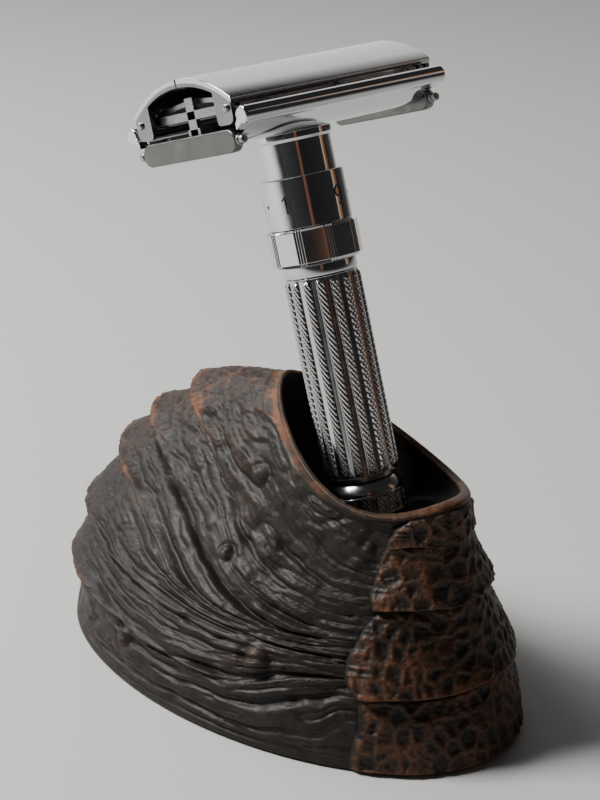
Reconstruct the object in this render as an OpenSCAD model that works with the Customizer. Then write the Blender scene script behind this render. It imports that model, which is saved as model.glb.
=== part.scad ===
// Sculpted razor stand with its double-edge adjustable safety razor.
// Frame: origin at the centre of the foot on the table, +X from the ridged
// back to the belly scutes, +Z up. Everything is symmetric about y = 0.

/* [Stand] */
// Length of the foot, back to belly
base_length = 95.2; // [80:0.2:120]
// Width of the foot
base_width = 55.6; // [44:0.2:70]
// Height of the nape, the highest point of the mouth's lip
nape_height = 51.8; // [43:0.1:63]
// Height of the mouth's lip on the belly side
belly_lip_height = 41; // [38:0.1:48]
// Wall left round the mouth
lip_wall = 1.2; // [1:0.1:2.5]
// Step that each back plate stands above the next one
plate_step = 2.1; // [1:0.1:3.5]
// Thickness of a belly scute at its free edge
scute_edge = 2.3; // [1:0.1:3.5]
// Thickness of a belly scute where it starts
scute_root = 0.6; // [0.4:0.1:1.2]
// How far the lowest scute reaches out at the foot
foot_scute = 1.2; // [0.8:0.1:2]
// Wall of the shell beside the backfilled core
shell_wall = 6; // [4:0.5:9]
// Thickness of the felt pad
felt_thickness = 1.3; // [0.8:0.1:3]

/* [Socket] */
// Lean of the seated razor towards the back, in degrees
lean = 17.5; // [8:0.5:24]
// Distance of the seated knob in front of the foot's centre
seat_x = 19.4; // [12:0.2:24]
// Height of the seated knob
seat_z = 33.5; // [30:0.5:38]
// Gap between the handle and the lip at the nape
nape_gap = 6.9; // [5:0.1:9]
// Gap between the handle and the lip on the belly side
belly_gap = 11.3; // [8:0.1:15]
// Gap between the handle and the lip at each side
side_gap = 4.4; // [2.5:0.1:6]
// Room round the knob on the socket's floor
floor_room = 2; // [1:0.1:3]
// Gap left under the knob
seat_clearance = 0.3; // [0.2:0.05:1]

/* [Handle] */
// Radius of the grip over its knurled lands
grip_r = 6.1; // [5.2:0.1:7.4]
// Length of the grip
grip_length = 32.3; // [26:0.1:60]
// Number of grooves along the grip
groove_count = 16; // [10:1:22]
// Height of the twist knob
knob_height = 5.9; // [5:0.1:10]
// Radius of the smooth neck under the head
neck_r = 5.7; // [5.2:0.1:6.6]
// How far the numbered dial stands out round the neck
dial_wall = 0.9; // [0.7:0.05:1.4]
// Height of the numbered band
dial_height = 7.9; // [6:0.1:12]
// How far the adjuster ring stands out round the dial
ring_wall = 0.65; // [0.5:0.05:1.2]
// Height of the adjuster ring
ring_height = 5.7; // [4:0.1:8]
// Height of neck that shows above the dial
neck_height = 5.7; // [4:0.1:9]

/* [Head] */
// Length of the doors
door_length = 41; // [38:0.5:44]
// Half width over the closed doors
door_half_w = 12.1; // [11.5:0.1:13]
// Rise of the closed doors from lip to crest
door_rise = 4.3; // [3.8:0.1:5.5]
// Sheet thickness of the doors
door_t = 0.8; // [0.6:0.05:1]
// Radius of a guard bar
bar_r = 1.4; // [1:0.1:1.7]
// Gap between the guard bar and the door's lip
blade_gap = 1.4; // [0.8:0.05:1.8]
// How far the guard moves up or down from its middle setting
guard_travel = 0.4; // [0.2:0.05:0.4]
// How far the twist knob lifts the doors
door_lift = 3; // [3:0.1:3.2]
// Radius of a door hinge pin
pin_r = 0.6; // [0.4:0.05:0.7]

/* [Hidden] */
$fn = 64;

hide = [0.17, 0.12, 0.09];
copper = [0.3, 0.18, 0.11];
chrome = [0.8, 0.81, 0.82];
steel = [0.6, 0.61, 0.63];
brass = [0.75, 0.62, 0.35];

play = 0.1;        // gap between pieces that are fixed together
running = 0.05;    // radial gap of a shaft that turns or slides
eps = 0.01;        // overshoot of a cut

// ---------------------------------------------------------------- stand form
foot_z = 0.5;                    // the shell's foot stands this far above the felt's face
foot_inset = 2.5;                // width of the shell's foot round the felt
around = 64;                     // points round each section
steps_up = 28;                   // sections from the foot to the lip

// Handle axis: its x at a given height
function axis_x(z) = seat_x - (z - seat_z) * tan(lean);
handle_half = grip_r / cos(lean);

// Mouth: back end, belly end and half width of the lip's inner edge
mouth_back = axis_x(nape_height) - handle_half - nape_gap;
mouth_front = seat_x + handle_half + belly_gap;
mouth_half_w = grip_r + side_gap;
lip_back = mouth_back - lip_wall;
lip_front = mouth_front + lip_wall;
lip_half_w = mouth_half_w + lip_wall;

// Lines of the body, one row a section from foot to lip. Columns 0, 2 and 4 go from 1 at the
// foot to 0 at the lip, for the back's x, the belly's x and the half width. Columns 1 and 3 are
// the back's and belly's height as shares of the lip's. Column 5 narrows the back half, columns
// 6 and 7 move the sides forward and down in millimetres, column 8 points both ends, and
// column 9 tips the sides' drop towards the belly, in millimetres.
form = [
    [1.000, 0.000,  1.000, 0.000, 1.000, -0.03, 0.0, 0.0, 1.00, 0.0],
    [0.957, 0.147,  0.809, 0.156, 1.006, -0.02, 0.0, 0.3, 1.00, 0.0],
    [0.944, 0.306,  0.467, 0.321, 0.884,  0.02, 0.3, 1.0, 1.00, 0.0],
    [0.888, 0.459,  0.262, 0.477, 0.690,  0.07, 0.8, 2.1, 1.05, 0.2],
    [0.745, 0.633,  0.124, 0.629, 0.450,  0.13, 1.2, 3.2, 1.12, 0.5],
    [0.531, 0.787,  0.040, 0.773, 0.205,  0.15, 1.4, 4.2, 1.20, 0.9],
    [0.289, 0.917,  0.012, 0.917, 0.060,  0.13, 1.5, 4.9, 1.26, 1.3],
    [0.000, 1.000,  0.000, 1.000, 0.000,  0.10, 1.5, 5.1, 1.28, 1.6]
];
last_row = len(form) - 1;
function row(i) = form[max(0, min(last_row, i))];
function blend4(a, b, c, d, t) =
    0.5 * (2 * b + (c - a) * t + (2 * a - 5 * b + 4 * c - d) * t * t
    + (3 * b - a - 3 * c + d) * t * t * t);
function lines_at(v) =
    let (s = v * last_row, i = max(0, min(last_row - 1, floor(s))))
    blend4(row(i - 1), row(i), row(i + 1), row(i + 2), s - i);

// One closed section through back end, sides and belly end
function section(back, back_z, front, front_z, half_w, narrow, forward, down, pointed, dip, a) = [
    (back + front) / 2 + (back - front) / 2 * cos(a) + forward * sin(a) * sin(a),
    half_w * sin(a) * pow(max(0.001, abs(sin(a))), max(0, pointed - 1)) * (1 - narrow * cos(a)),
    (back_z + front_z) / 2 + (back_z - front_z) / 2 * cos(a) - (down - dip * cos(a)) * sin(a) * sin(a)
];
function lerp(a, b, t) = a + (b - a) * t;
function skin(a, v) =
    let (f = lines_at(v))
    section(
        lerp(lip_back, -base_length / 2, f[0]), lerp(foot_z, nape_height, f[1]),
        lerp(lip_front, base_length / 2 - foot_scute, f[2]), lerp(foot_z, belly_lip_height, f[3]),
        lerp(lip_half_w, base_width / 2, f[4]), f[5], f[6], f[7], f[8], f[9], a
    );
function unit(p) = p / norm(p);
function skin_normal(a, v) =
    unit(cross(skin(a, v + 0.01) - skin(a, v - 0.01), skin(a + 1, v) - skin(a - 1, v)));

// Back plates: each ends in a free edge that stands over the plate below it
plate_edges = [5, 10, 15, 19, 22];
function plate_top(j) = min([for (e = concat(plate_edges, [steps_up])) if (e > j) e]);
function plate_foot(j) = max([for (e = concat([0], plate_edges)) if (e <= j) e]);
function plate_rise(j, at_edge) =
    let (k = at_edge ? j - 1 : j, lo = plate_foot(k), hi = plate_top(k))
    lo == 0 ? 0 : plate_step * pow((hi - j) / (hi - lo), 1.3);
// The plates wrap the back and fade out on the flanks
function wrap(a) = pow(max(0, cos(a / 1.25 - (a > 180 ? 288 : 0))), 1.5);
// Plate edges run down the flanks instead of level round the body
edge_sag = 0.5;
function sag(a, v) =
    v - edge_sag * v * v * (1 - v) * pow(sin(a), 2) * (1 + cos(a));
function shell_point(a, v, rise) =
    skin(a, sag(a, v)) + skin_normal(a, sag(a, v)) * rise * wrap(a);

function ring_of(v, rise) = [for (j = [0:around - 1]) shell_point(360 * j / around, v, rise)];
function is_edge(j) = len(search(j, plate_edges)) > 0;
// Two sections a hair apart make each plate's free edge
edge_v = 0.006;
outer_rings = [
    for (j = [0:steps_up]) each (is_edge(j)
        ? [ring_of(j / steps_up - edge_v, plate_rise(j, true)), ring_of(j / steps_up, plate_rise(j, false))]
        : [ring_of(j / steps_up, j == steps_up ? 0 : plate_rise(j, false))])
];

// Ellipse at one height, set in from both ends and from the sides
function inset_ring(back, front, half_w, inset, z) = [
    for (j = [0:around - 1]) let (a = 360 * j / around)
        [(back + front) / 2 + ((back - front) / 2 + inset) * cos(a), (half_w - inset) * sin(a), z]
];
function foot_ring(inset, z) = inset_ring(-base_length / 2, base_length / 2, base_width / 2, inset, z);
core_v = 0.5;                    // height share of the body's section that the ceiling keeps inside
function ceiling_ring(inset, z) =
    inset_ring(skin(0, core_v).x, skin(180, core_v).x, skin(90, core_v).y, inset, z);
recess_z = felt_thickness + play;

// Rounded lip, then the socket's wall down to its floor
function mouth_ring(inset, dz) = [for (j = [0:around - 1]) section(
    lip_back + inset, nape_height + dz, lip_front - inset, belly_lip_height + dz,
    lip_half_w - inset, form[last_row][5], form[last_row][6], form[last_row][7],
    form[last_row][8], form[last_row][9], 360 * j / around)];
floor_r = grip_r + floor_room;
belly_room = 1.6;                // the floor reaches this much further towards the belly
back_room = 0.6;                 // and this much further towards the back
function floor_ring(r) = [for (j = [0:around - 1]) let (
    a = 360 * j / around,
    x = -(r + (cos(a) < 0 ? belly_room : back_room)) * cos(a),
    y = r * sin(a)
) [
    seat_x + x * cos(lean) + seat_clearance * sin(lean),
    y,
    seat_z + x * sin(lean) - seat_clearance * cos(lean)
]];
// Ceiling of the cavity that the core fills, a wall below the floor's lowest edge
core_top = seat_z - seat_clearance - (floor_r + back_room) * sin(lean) - shell_wall;
// The wall drops steeply from the lip and flattens into the floor
bowl = [[0.03, 0.1], [0.12, 0.36], [0.28, 0.6], [0.52, 0.8], [0.78, 0.94]];
function wall_ring(p, q, t) = [
    for (j = [0:len(p) - 1])
        [lerp(p[j].x, q[j].x, t[0]), lerp(p[j].y, q[j].y, t[0]), lerp(p[j].z, q[j].z, t[1])]
];
lip_in = mouth_ring(lip_wall, 0);
floor_out = floor_ring(floor_r);
socket_rings = concat(
    [mouth_ring(0.25 * lip_wall, 0.35), mouth_ring(0.6 * lip_wall, 0.45), mouth_ring(0.9 * lip_wall, 0.2)],
    [for (t = bowl) wall_ring(lip_in, floor_out, t)],
    [floor_out, floor_ring(floor_r - 1)]
);

// Closed solid through a list of sections, each with the same number of points
module loft(rings) {
    n = len(rings[0]);
    m = len(rings);
    polyhedron(
        points = [for (r = rings) each r],
        faces = concat(
            [[for (j = [n - 1:-1:0]) j]],
            [for (i = [0:m - 2], j = [0:n - 1]) each [
                [i * n + j, (i + 1) * n + (j + 1) % n, (i + 1) * n + j],
                [i * n + j, i * n + (j + 1) % n, (i + 1) * n + (j + 1) % n]
            ]],
            [[for (j = [0:n - 1]) (m - 1) * n + j]]
        ),
        convexity = 8
    );
}

module hide_shell() {
    color(hide) loft(concat(
        [ceiling_ring(shell_wall, core_top), foot_ring(shell_wall, recess_z)],
        [foot_ring(foot_inset, recess_z), foot_ring(foot_inset, foot_z)],
        outer_rings,
        socket_rings
    ));
}

module backfill_core() {
    color([0.75, 0.72, 0.66]) loft([
        foot_ring(shell_wall + play, recess_z + play), ceiling_ring(shell_wall + play, core_top - play)
    ]);
}

module felt_pad() {
    color([0.1, 0.16, 0.11]) loft([
        foot_ring(foot_inset + play, 0), foot_ring(foot_inset + play, felt_thickness)
    ]);
}

// Belly scute: a curved plate from section j0 up to section j1, half_steps of the section's
// points to each side, thickest at its lower edge and thin at its flanks
seam_gap = 0.12;
row_gap = 0.1;                   // gap left over the scute below, in sections
function scute_flank(i, half_steps) = 1 - 0.55 * pow(abs(i) / half_steps, 4);
function scute_t(i, j, j0, j1, half_steps, edge) =
    lerp(edge, scute_root, pow(max(0, j - j0) / (j1 - j0), 0.8)) * scute_flank(i, half_steps);
function scute_row(j, j0, j1, half_steps, edge) = [
    for (i = [-half_steps:half_steps])
        let (a = 180 + 360 * i / around, v = (j == j0 && j0 > 0 ? j + row_gap : j) / steps_up)
        skin(a, v) + skin_normal(a, v)
        * (seam_gap + (edge == 0 ? 0 : scute_t(i, j, j0, j1, half_steps, edge)))
];
module scute(j0, j1, half_steps, edge) {
    rows = j1 - j0;
    cols = 2 * half_steps + 1;
    inner = [for (j = [j0:j1]) each scute_row(j, j0, j1, half_steps, 0)];
    outer = [for (j = [j0:j1]) each scute_row(j, j0, j1, half_steps, edge)];
    o = len(inner);
    polyhedron(
        points = concat(inner, outer),
        faces = concat(
            [for (r = [0:rows - 1], c = [0:cols - 2]) let (p = r * cols + c) each [
                [p, p + cols + 1, p + 1], [p, p + cols, p + cols + 1],
                [o + p, o + p + 1, o + p + cols + 1], [o + p, o + p + cols + 1, o + p + cols]
            ]],
            [for (c = [0:cols - 2]) let (q = rows * cols + c) each [
                [c, o + c + 1, o + c], [c, c + 1, o + c + 1],
                [q, o + q + 1, q + 1], [q, o + q, o + q + 1]
            ]],
            [for (r = [0:rows - 1]) let (p = r * cols, q = p + cols - 1) each [
                [p, o + p + cols, p + cols], [p, o + p, o + p + cols],
                [q, o + q + cols, o + q], [q, q + cols, o + q + cols]
            ]]
        ),
        convexity = 6
    );
}
module belly_scute_collar() color(copper) scute(23, 27, 7, scute_edge * 0.6);
module belly_scute_upper() color(copper) scute(16, 23, 7, scute_edge);
module belly_scute_middle() color(copper) scute(7, 16, 7, scute_edge);
module belly_scute_lower() color(copper) scute(0, 7, 8, foot_scute - seam_gap);

// ---------------------------------------------------------------- razor
// Heights along the handle, from the knob's flat end
grip_z0 = knob_height + 0.8;
grip_z1 = grip_z0 + grip_length;
ring_z0 = grip_z1 + 2.1;
dial_z0 = ring_z0 + ring_height + play;
dial_z1 = dial_z0 + dial_height;
flange_z = dial_z1 + neck_height;
flange_h = 1.1;
plate_z = flange_z + flange_h + play;   // underside of the guard plate
floor_t = 1.4;                          // thickness of the guard plate
floor_z = plate_z + floor_t;
bar_x = door_half_w + 0.05 + bar_r;
bar_z = plate_z + 3.9;
lip_z = bar_z + bar_r + blade_gap;
crest_z = lip_z + door_rise;
pin_x = door_half_w - 1.5;
pin_z = lip_z - 1.4;
beam_z = floor_z + guard_travel + 0.3;  // underside of the lift bar's beam
beam_h = 1.2;
beam_half_w = 1.5;
door_half_l = door_length / 2;
ear_t = 0.8;                            // thickness of a door's end ear
arm_y = door_half_l - 2.5;              // inner face of the lift bar's end plate
arm_t = 0.8;
tray_half_l = arm_y - 0.3;
tray_half_w = door_half_w - 0.6;
tray_t = 0.8;
tray_z = crest_z - 3.4;                 // top of the blade tray at its middle
cap_y = door_half_l - 1.5;              // inner face of an end cap
cap_h = 3.5;
cap_z = floor_z + 0.9 - cap_h / 2;      // middle height of an end cap
tube_r = 3.4;
tube_bore = 2.2;
hub_r = 4.2;
rod_r = 1.2;
thread_r = 1.7;
bushing_h = 5.3;
stem_r = 3.2;
sleeve_bore = grip_r - 1.1;
dial_bore = neck_r + 0.15;
dial_ledge = 0.05;                      // the dial rests this far on the collar
dial_r = neck_r + dial_wall;
ring_r = dial_r + ring_wall;
cut_long = 60;

module in_razor() translate([seat_x, 0, seat_z]) rotate([0, -lean, 0]) children();
module tube(r, bore, z0, z1) {
    translate([0, 0, z0]) difference() {
        cylinder(r = r, h = z1 - z0);
        translate([0, 0, -eps]) cylinder(r = bore, h = z1 - z0 + 2 * eps);
    }
}
// Extrudes an outline drawn in x and z, from y0 to y1
module across(y0, y1) {
    translate([0, y1, 0]) rotate([90, 0, 0]) linear_extrude(y1 - y0) children();
}
module both_ends(y0, y1) {
    across(y0, y1) children();
    across(-y1, -y0) children();
}
// Cylinder along y
module pin_along(x, z, r, y0, y1) {
    translate([x, y0, z]) rotate([-90, 0, 0]) cylinder(r = r, h = y1 - y0, $fn = 32);
}

module grip_sleeve() {
    groove_r = 0.55;
    color(chrome) in_razor() difference() {
        tube(grip_r, sleeve_bore, grip_z0, grip_z1);
        for (i = [0:groove_count - 1]) rotate([0, 0, 360 * (i + 0.5) / groove_count])
            translate([grip_r + groove_r - 0.32, 0, grip_z0 - eps])
                cylinder(r = groove_r, h = grip_length + 2 * eps, $fn = 24);
    }
}
module grip_collar() color(chrome) in_razor()
    tube(dial_bore + dial_ledge, tube_r + running, grip_z1 + play, ring_z0 - play);
module end_bushing() {
    color(brass) in_razor() {
        difference() {
            union() {
                translate([0, 0, grip_z0]) cylinder(r = sleeve_bore - running, h = bushing_h);
                translate([0, 0, knob_height + play]) cylinder(r = grip_r - 0.9, h = grip_z0 - knob_height - play);
            }
            translate([0, 0, knob_height]) cylinder(r = stem_r + play, h = bushing_h + 2);
        }
    }
}
module inner_tube() color(brass) in_razor() tube(tube_r, tube_bore, grip_z0 + 10.3, floor_z + 0.3);

// Blade tray: a vaulted plate on a split hub that the lift bar's beam passes through
function tray_top(x) = tray_z - (tray_z - lip_z + 0.9) * pow(abs(x) / tray_half_w, 2);
tray_steps = [for (i = [-8:8]) tray_half_w * i / 8];
module blade_tray() {
    color(steel) in_razor() {
        difference() {
            across(-tray_half_l, tray_half_l) polygon(concat(
                [for (x = tray_steps) [x, tray_top(x)]],
                [for (i = [16:-1:0]) [tray_steps[i], tray_top(tray_steps[i]) - tray_t]]
            ));
            // alignment notches along both edges
            for (x = [-tray_half_w, tray_half_w], y = [-0.82, 0, 0.82])
                translate([x, y * tray_half_l, lip_z]) cube([1.6, 3, 8], center = true);
        }
        // studs that pass through a blade's slot
        for (y = [-0.62, 0, 0.62]) translate([0, y * tray_half_l, tray_z - tray_t])
            cylinder(r = 1.3, h = tray_t + 1.1, $fn = 32);
        difference() {
            translate([0, 0, flange_z]) cylinder(r = hub_r, h = tray_z - tray_t / 2 - flange_z);
            translate([0, 0, flange_z - eps]) cylinder(r = tube_r + running, h = floor_z + 0.4 - flange_z);
            translate([-beam_half_w - 0.3, -cut_long / 2, floor_z + 0.3])
                cube([2 * beam_half_w + 0.6, cut_long, tray_z - tray_t - 0.12 - floor_z - 0.3]);
        }
    }
}

// Spring that keeps the guard's thread free of slack
spring_turns = 5;
spring_r = 4.25;
wire_r = 0.35;
spring_z0 = ring_z0 + 0.3 + wire_r;
spring_z1 = dial_z0 + 2.3 - wire_r;
wire_sides = 8;
turn_steps = 20;
function wire_ring(t) =
    let (a = 360 * spring_turns * t, z = lerp(spring_z0, spring_z1, t))
    [for (k = [0:wire_sides - 1]) let (b = 360 * k / wire_sides, r = spring_r + wire_r * cos(b))
        [r * cos(a), r * sin(a), z + wire_r * sin(b)]];
module tension_spring() color(steel) in_razor()
    loft([for (s = [0:spring_turns * turn_steps]) wire_ring(s / (spring_turns * turn_steps))]);

module dial_sleeve() {
    color(chrome) in_razor() {
        tube(dial_r, dial_bore, dial_z0, dial_z1);
        tube(dial_r - 0.25, dial_bore, ring_z0, dial_z0 + eps);
    }
}
ring_groups = 9;
module adjuster_ring() {
    scallop_r = 9;
    scallop_depth = 0.22;
    rib_r = 0.16;
    color(chrome) in_razor() difference() {
        tube(ring_r, dial_r - 0.2, ring_z0, ring_z0 + ring_height);
        for (i = [0:ring_groups - 1]) rotate([0, 0, 360 * i / ring_groups]) {
            translate([ring_r + scallop_r - scallop_depth, 0, ring_z0 - eps])
                cylinder(r = scallop_r, h = ring_height + 2 * eps);
            for (b = [-3.2, 0, 3.2]) rotate([0, 0, 180 / ring_groups + b])
                translate([ring_r, 0, ring_z0 - eps])
                    cylinder(r = rib_r, h = ring_height + 2 * eps, $fn = 16);
        }
    }
}
module click_ring() {
    color(steel) in_razor() difference() {
        tube(dial_bore - running, dial_bore - 0.75, ring_z0 + 1, ring_z0 + 2.2);
        translate([0, -0.8, ring_z0]) cube([ring_r, 1.6, 4]);
    }
}

// Guard: a shallow trough with a round bar along each side
module guard_plate() {
    color(chrome) in_razor() difference() {
        across(-door_half_l, door_half_l) guard_outline();
        translate([0, 0, plate_z - eps]) cylinder(r = hub_r + 0.3, h = floor_t + 1);
        // ends of the trough, where the end caps sit
        for (s = [-1, 1]) translate([0, s * (cap_y - play + cut_long / 2), cap_z])
            cube([2 * (bar_x - bar_r - 0.3), cut_long, 2 * cap_h], center = true);
    }
}
module guard_outline() {
    guard_half();
    mirror([1, 0]) guard_half();
}
module guard_half() {
    translate([bar_x, bar_z]) circle(r = bar_r, $fn = 40);
    polygon([
        [-eps, plate_z], [6.5, plate_z], [10, plate_z + 0.7], [bar_x - 0.4, bar_z - bar_r + 0.1],
        [bar_x - 0.2, bar_z], [bar_x - bar_r + 0.25, bar_z - 0.35],
        [tray_half_w, floor_z + 1], [tray_half_w - 2, floor_z], [-eps, floor_z]
    ]);
}
module neck_sleeve() {
    color(chrome) in_razor() {
        tube(neck_r, hub_r + 0.4, dial_z0 + 3.1, flange_z + eps);
        tube(neck_r + 0.3, hub_r + 0.4, flange_z, flange_z + flange_h);
    }
}
cap_half_w = tray_half_w - 0.15;
module end_cap() {
    end_r = cap_h / 2;
    difference() {
        union() {
            translate([-cap_half_w + end_r, cap_y, cap_z - end_r])
                cube([2 * (cap_half_w - end_r), door_half_l + 0.2 - cap_y, cap_h]);
            for (s = [-1, 1]) pin_along(s * (cap_half_w - end_r), cap_z, end_r, cap_y, door_half_l + 0.2);
        }
        translate([-cut_long / 2, rivet_y, cap_z]) rotate([0, 90, 0])
            cylinder(r = rivet_r + 0.02, h = cut_long, $fn = 32);
    }
}
rivet_r = 0.65;
rivet_y = (cap_y + door_half_l + 0.2) / 2;
module end_cap_left() color(chrome) in_razor() mirror([0, 1, 0]) end_cap();
module end_cap_right() color(chrome) in_razor() end_cap();
module end_cap_rivets() {
    head = 1.3;
    color(steel) in_razor() for (s = [-1, 1])
        translate([-cap_half_w - head, s * rivet_y, cap_z]) rotate([0, 90, 0])
            cylinder(r = rivet_r, h = 2 * (cap_half_w + head), $fn = 32);
}

module draw_rod() {
    color(steel) in_razor() {
        translate([0, 0, 8.5]) cylinder(r = rod_r, h = beam_z - 8.5);
        translate([0, 0, 3]) cylinder(r = thread_r, h = 11.5);
    }
}
module lift_bar() {
    boss_r = pin_r + 0.55;
    color(steel) in_razor() {
        translate([-beam_half_w, -arm_y - arm_t, beam_z]) cube([2 * beam_half_w, 2 * (arm_y + arm_t), beam_h]);
        difference() {
            both_ends(arm_y, arm_y + arm_t) union() {
                translate([-1, beam_z]) square([2, tray_z + 0.4 - beam_z]);
                translate([-pin_x, pin_z - 0.7]) square([2 * pin_x, 1.4]);
                for (s = [-1, 1]) translate([s * pin_x, pin_z]) circle(r = boss_r, $fn = 32);
            }
            for (s = [-1, 1]) pin_along(s * pin_x, pin_z, pin_r + 0.02, -cut_long / 2, cut_long / 2);
        }
    }
}
module hinge_pins() {
    color(steel) in_razor() for (s = [-1, 1]) {
        pin_along(s * pin_x, pin_z, pin_r, arm_y - 0.1, door_half_l + 0.4);
        pin_along(s * pin_x, pin_z, pin_r, -door_half_l - 0.4, -arm_y + 0.1);
    }
}

// Doors: half arches that meet at the crest, with an ear at each end on the hinge pins
arch_power = 2.1;                       // 2 is a parabola, more is boxier
function arch(x) = crest_z - door_rise * pow(x / door_half_w, arch_power);
crest_gap = 0.12;
door_xs = [for (i = [0:12]) lerp(crest_gap, door_half_w, 1 - pow(1 - i / 12, 1.3))];
ear_x0 = pin_x - 2.6;
ear_x1 = door_half_w - 0.4;
ear_z = floor_z + 1.5;
ear_band = 1.3;                         // height of the ear above its window
module door() {
    difference() {
        union() {
            across(-door_half_l, door_half_l) polygon(concat(
                [for (x = door_xs) [x, arch(x)]],
                [for (i = [12:-1:0]) [max(crest_gap, door_xs[i] - 0.25 * i / 12 * door_t / 0.8), arch(door_xs[i]) - door_t]]
            ));
            both_ends(door_half_l - ear_t, door_half_l) polygon(concat(
                [for (x = door_xs) if (x < ear_x1) [x, arch(x) - 0.05]],
                [[ear_x1, arch(ear_x1) - 0.05], [ear_x1, ear_z + 1], [ear_x1 - 1, ear_z], [ear_x0 + 0.6, ear_z],
                 [ear_x0, ear_z + 0.6], [ear_x0, arch(ear_x0) - ear_band]],
                [for (i = [12:-1:0]) if (door_xs[i] < ear_x0) [door_xs[i], arch(door_xs[i]) - ear_band]]
            ));
        }
        pin_along(pin_x, pin_z, pin_r + running, -cut_long / 2, cut_long / 2);
    }
}
module door_front() color(chrome) in_razor() door();
module door_rear() color(chrome) in_razor() mirror([1, 0, 0]) door();

module twist_knob() {
    shoulder = 0.9;
    groove_r = 0.5;
    color(chrome) in_razor() difference() {
        rotate_extrude() polygon([
            [0, 0], [grip_r - 0.5, 0], [grip_r, 0.5], [grip_r, knob_height - shoulder - 1.3],
            [grip_r, knob_height - shoulder], [grip_r - 0.35, knob_height - 0.35],
            [grip_r - shoulder, knob_height], [0, knob_height]
        ]);
        translate([0, 0, 1.5]) cylinder(r = stem_r + 0.02, h = knob_height);
        for (i = [0:groove_count - 1]) rotate([0, 0, 360 * (i + 0.5) / groove_count])
            translate([grip_r + groove_r - 0.25, 0, -eps])
                cylinder(r = groove_r, h = knob_height - shoulder - 1.2, $fn = 24);
    }
}
module knob_stem() color(brass) in_razor() tube(stem_r, thread_r + running, 1.6, grip_z0 + 9.3);
module retaining_clip() {
    color(steel) in_razor() difference() {
        tube(stem_r + 1.2, stem_r + 0.02, grip_z0 + bushing_h + 0.2, grip_z0 + bushing_h + 1);
        translate([0, -1, grip_z0 + bushing_h]) cube([grip_r, 2, 2]);
    }
}

hide_shell();
backfill_core();
felt_pad();
belly_scute_collar();
belly_scute_upper();
belly_scute_middle();
belly_scute_lower();
grip_sleeve();
grip_collar();
end_bushing();
inner_tube();
blade_tray();
tension_spring();
dial_sleeve();
adjuster_ring();
click_ring();
guard_plate();
neck_sleeve();
end_cap_left();
end_cap_right();
end_cap_rivets();
draw_rod();
lift_bar();
hinge_pins();
door_front();
door_rear();
twist_knob();
knob_stem();
retaining_clip();
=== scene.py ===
"""Looks of the sculpted razor stand and the adjustable razor that leans in it.

Lengths of the hide and the razor are written in millimetres and turned into metres when a
mesh is made. The hide is drawn on two coordinates: an angle round the body, 0 at the spine
and 180 at the belly, and a height v from 0 at the foot to 1 at the lip.
"""
import math

import bmesh
import bpy
import numpy as np
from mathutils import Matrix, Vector


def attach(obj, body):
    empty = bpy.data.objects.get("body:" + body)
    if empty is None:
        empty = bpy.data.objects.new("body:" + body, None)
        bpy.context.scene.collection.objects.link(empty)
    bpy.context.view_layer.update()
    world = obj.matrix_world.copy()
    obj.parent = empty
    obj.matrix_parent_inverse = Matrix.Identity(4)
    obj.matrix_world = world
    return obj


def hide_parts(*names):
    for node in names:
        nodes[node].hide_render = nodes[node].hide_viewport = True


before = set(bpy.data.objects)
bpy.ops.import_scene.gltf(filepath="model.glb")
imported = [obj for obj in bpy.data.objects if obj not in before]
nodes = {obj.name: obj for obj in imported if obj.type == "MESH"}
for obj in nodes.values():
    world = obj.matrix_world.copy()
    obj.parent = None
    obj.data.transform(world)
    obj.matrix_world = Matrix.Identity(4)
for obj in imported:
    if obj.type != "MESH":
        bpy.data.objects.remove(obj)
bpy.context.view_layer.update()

MM = 0.001
scene = bpy.context.scene


# ---- small tools
def smooth(x):
    """0 below 0, 1 above 1, and an S curve between."""
    x = np.clip(x, 0.0, 1.0)
    return x * x * (3.0 - 2.0 * x)


def window(x, low, high, fade):
    """1 between low and high, fading out over fade on both sides."""
    return smooth((x - low) / fade + 1.0) * smooth((high - x) / fade + 1.0)


def lattice(ix, iy, iz, seed):
    """A random number from 0 to 1 for each whole-number point."""
    h = (ix * 374761393 + iy * 668265263 + iz * 2147483647 + seed * 974634777) & 0xFFFFFFFF
    h = ((h ^ (h >> 13)) * 1274126177) & 0xFFFFFFFF
    h = ((h ^ (h >> 16)) * 2246822519) & 0xFFFFFFFF
    return ((h ^ (h >> 13)) & 0xFFFFFF) / float(0xFFFFFF)


def noise(x, y, z, seed=0):
    """Smooth noise from -1 to 1 with features about 1 across."""
    x, y, z = np.broadcast_arrays(x, y, z)
    ix, iy, iz = (np.floor(c).astype(np.int64) for c in (x, y, z))
    fx, fy, fz = (c - np.floor(c) for c in (x, y, z))
    fx, fy, fz = (f * f * f * (f * (f * 6 - 15) + 10) for f in (fx, fy, fz))
    total = 0.0
    for dx in (0, 1):
        for dy in (0, 1):
            for dz in (0, 1):
                weight = (fx if dx else 1 - fx) * (fy if dy else 1 - fy) * (fz if dz else 1 - fz)
                total = total + weight * lattice(ix + dx, iy + dy, iz + dz, seed)
    return 2.0 * total - 1.0


def ridges(x, y, z, seed):
    """Noise folded into sharp crests: 1 on a crest, down to about 0 between."""
    return 1.0 - np.abs(noise(x, y, z, seed)) * 1.6


def grooves(x, y, z, seed, narrow):
    """Smooth noise folded into narrow cuts: 0 in a cut, 1 on the flats between."""
    return smooth(np.abs(noise(x, y, z, seed)) * narrow)


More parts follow.
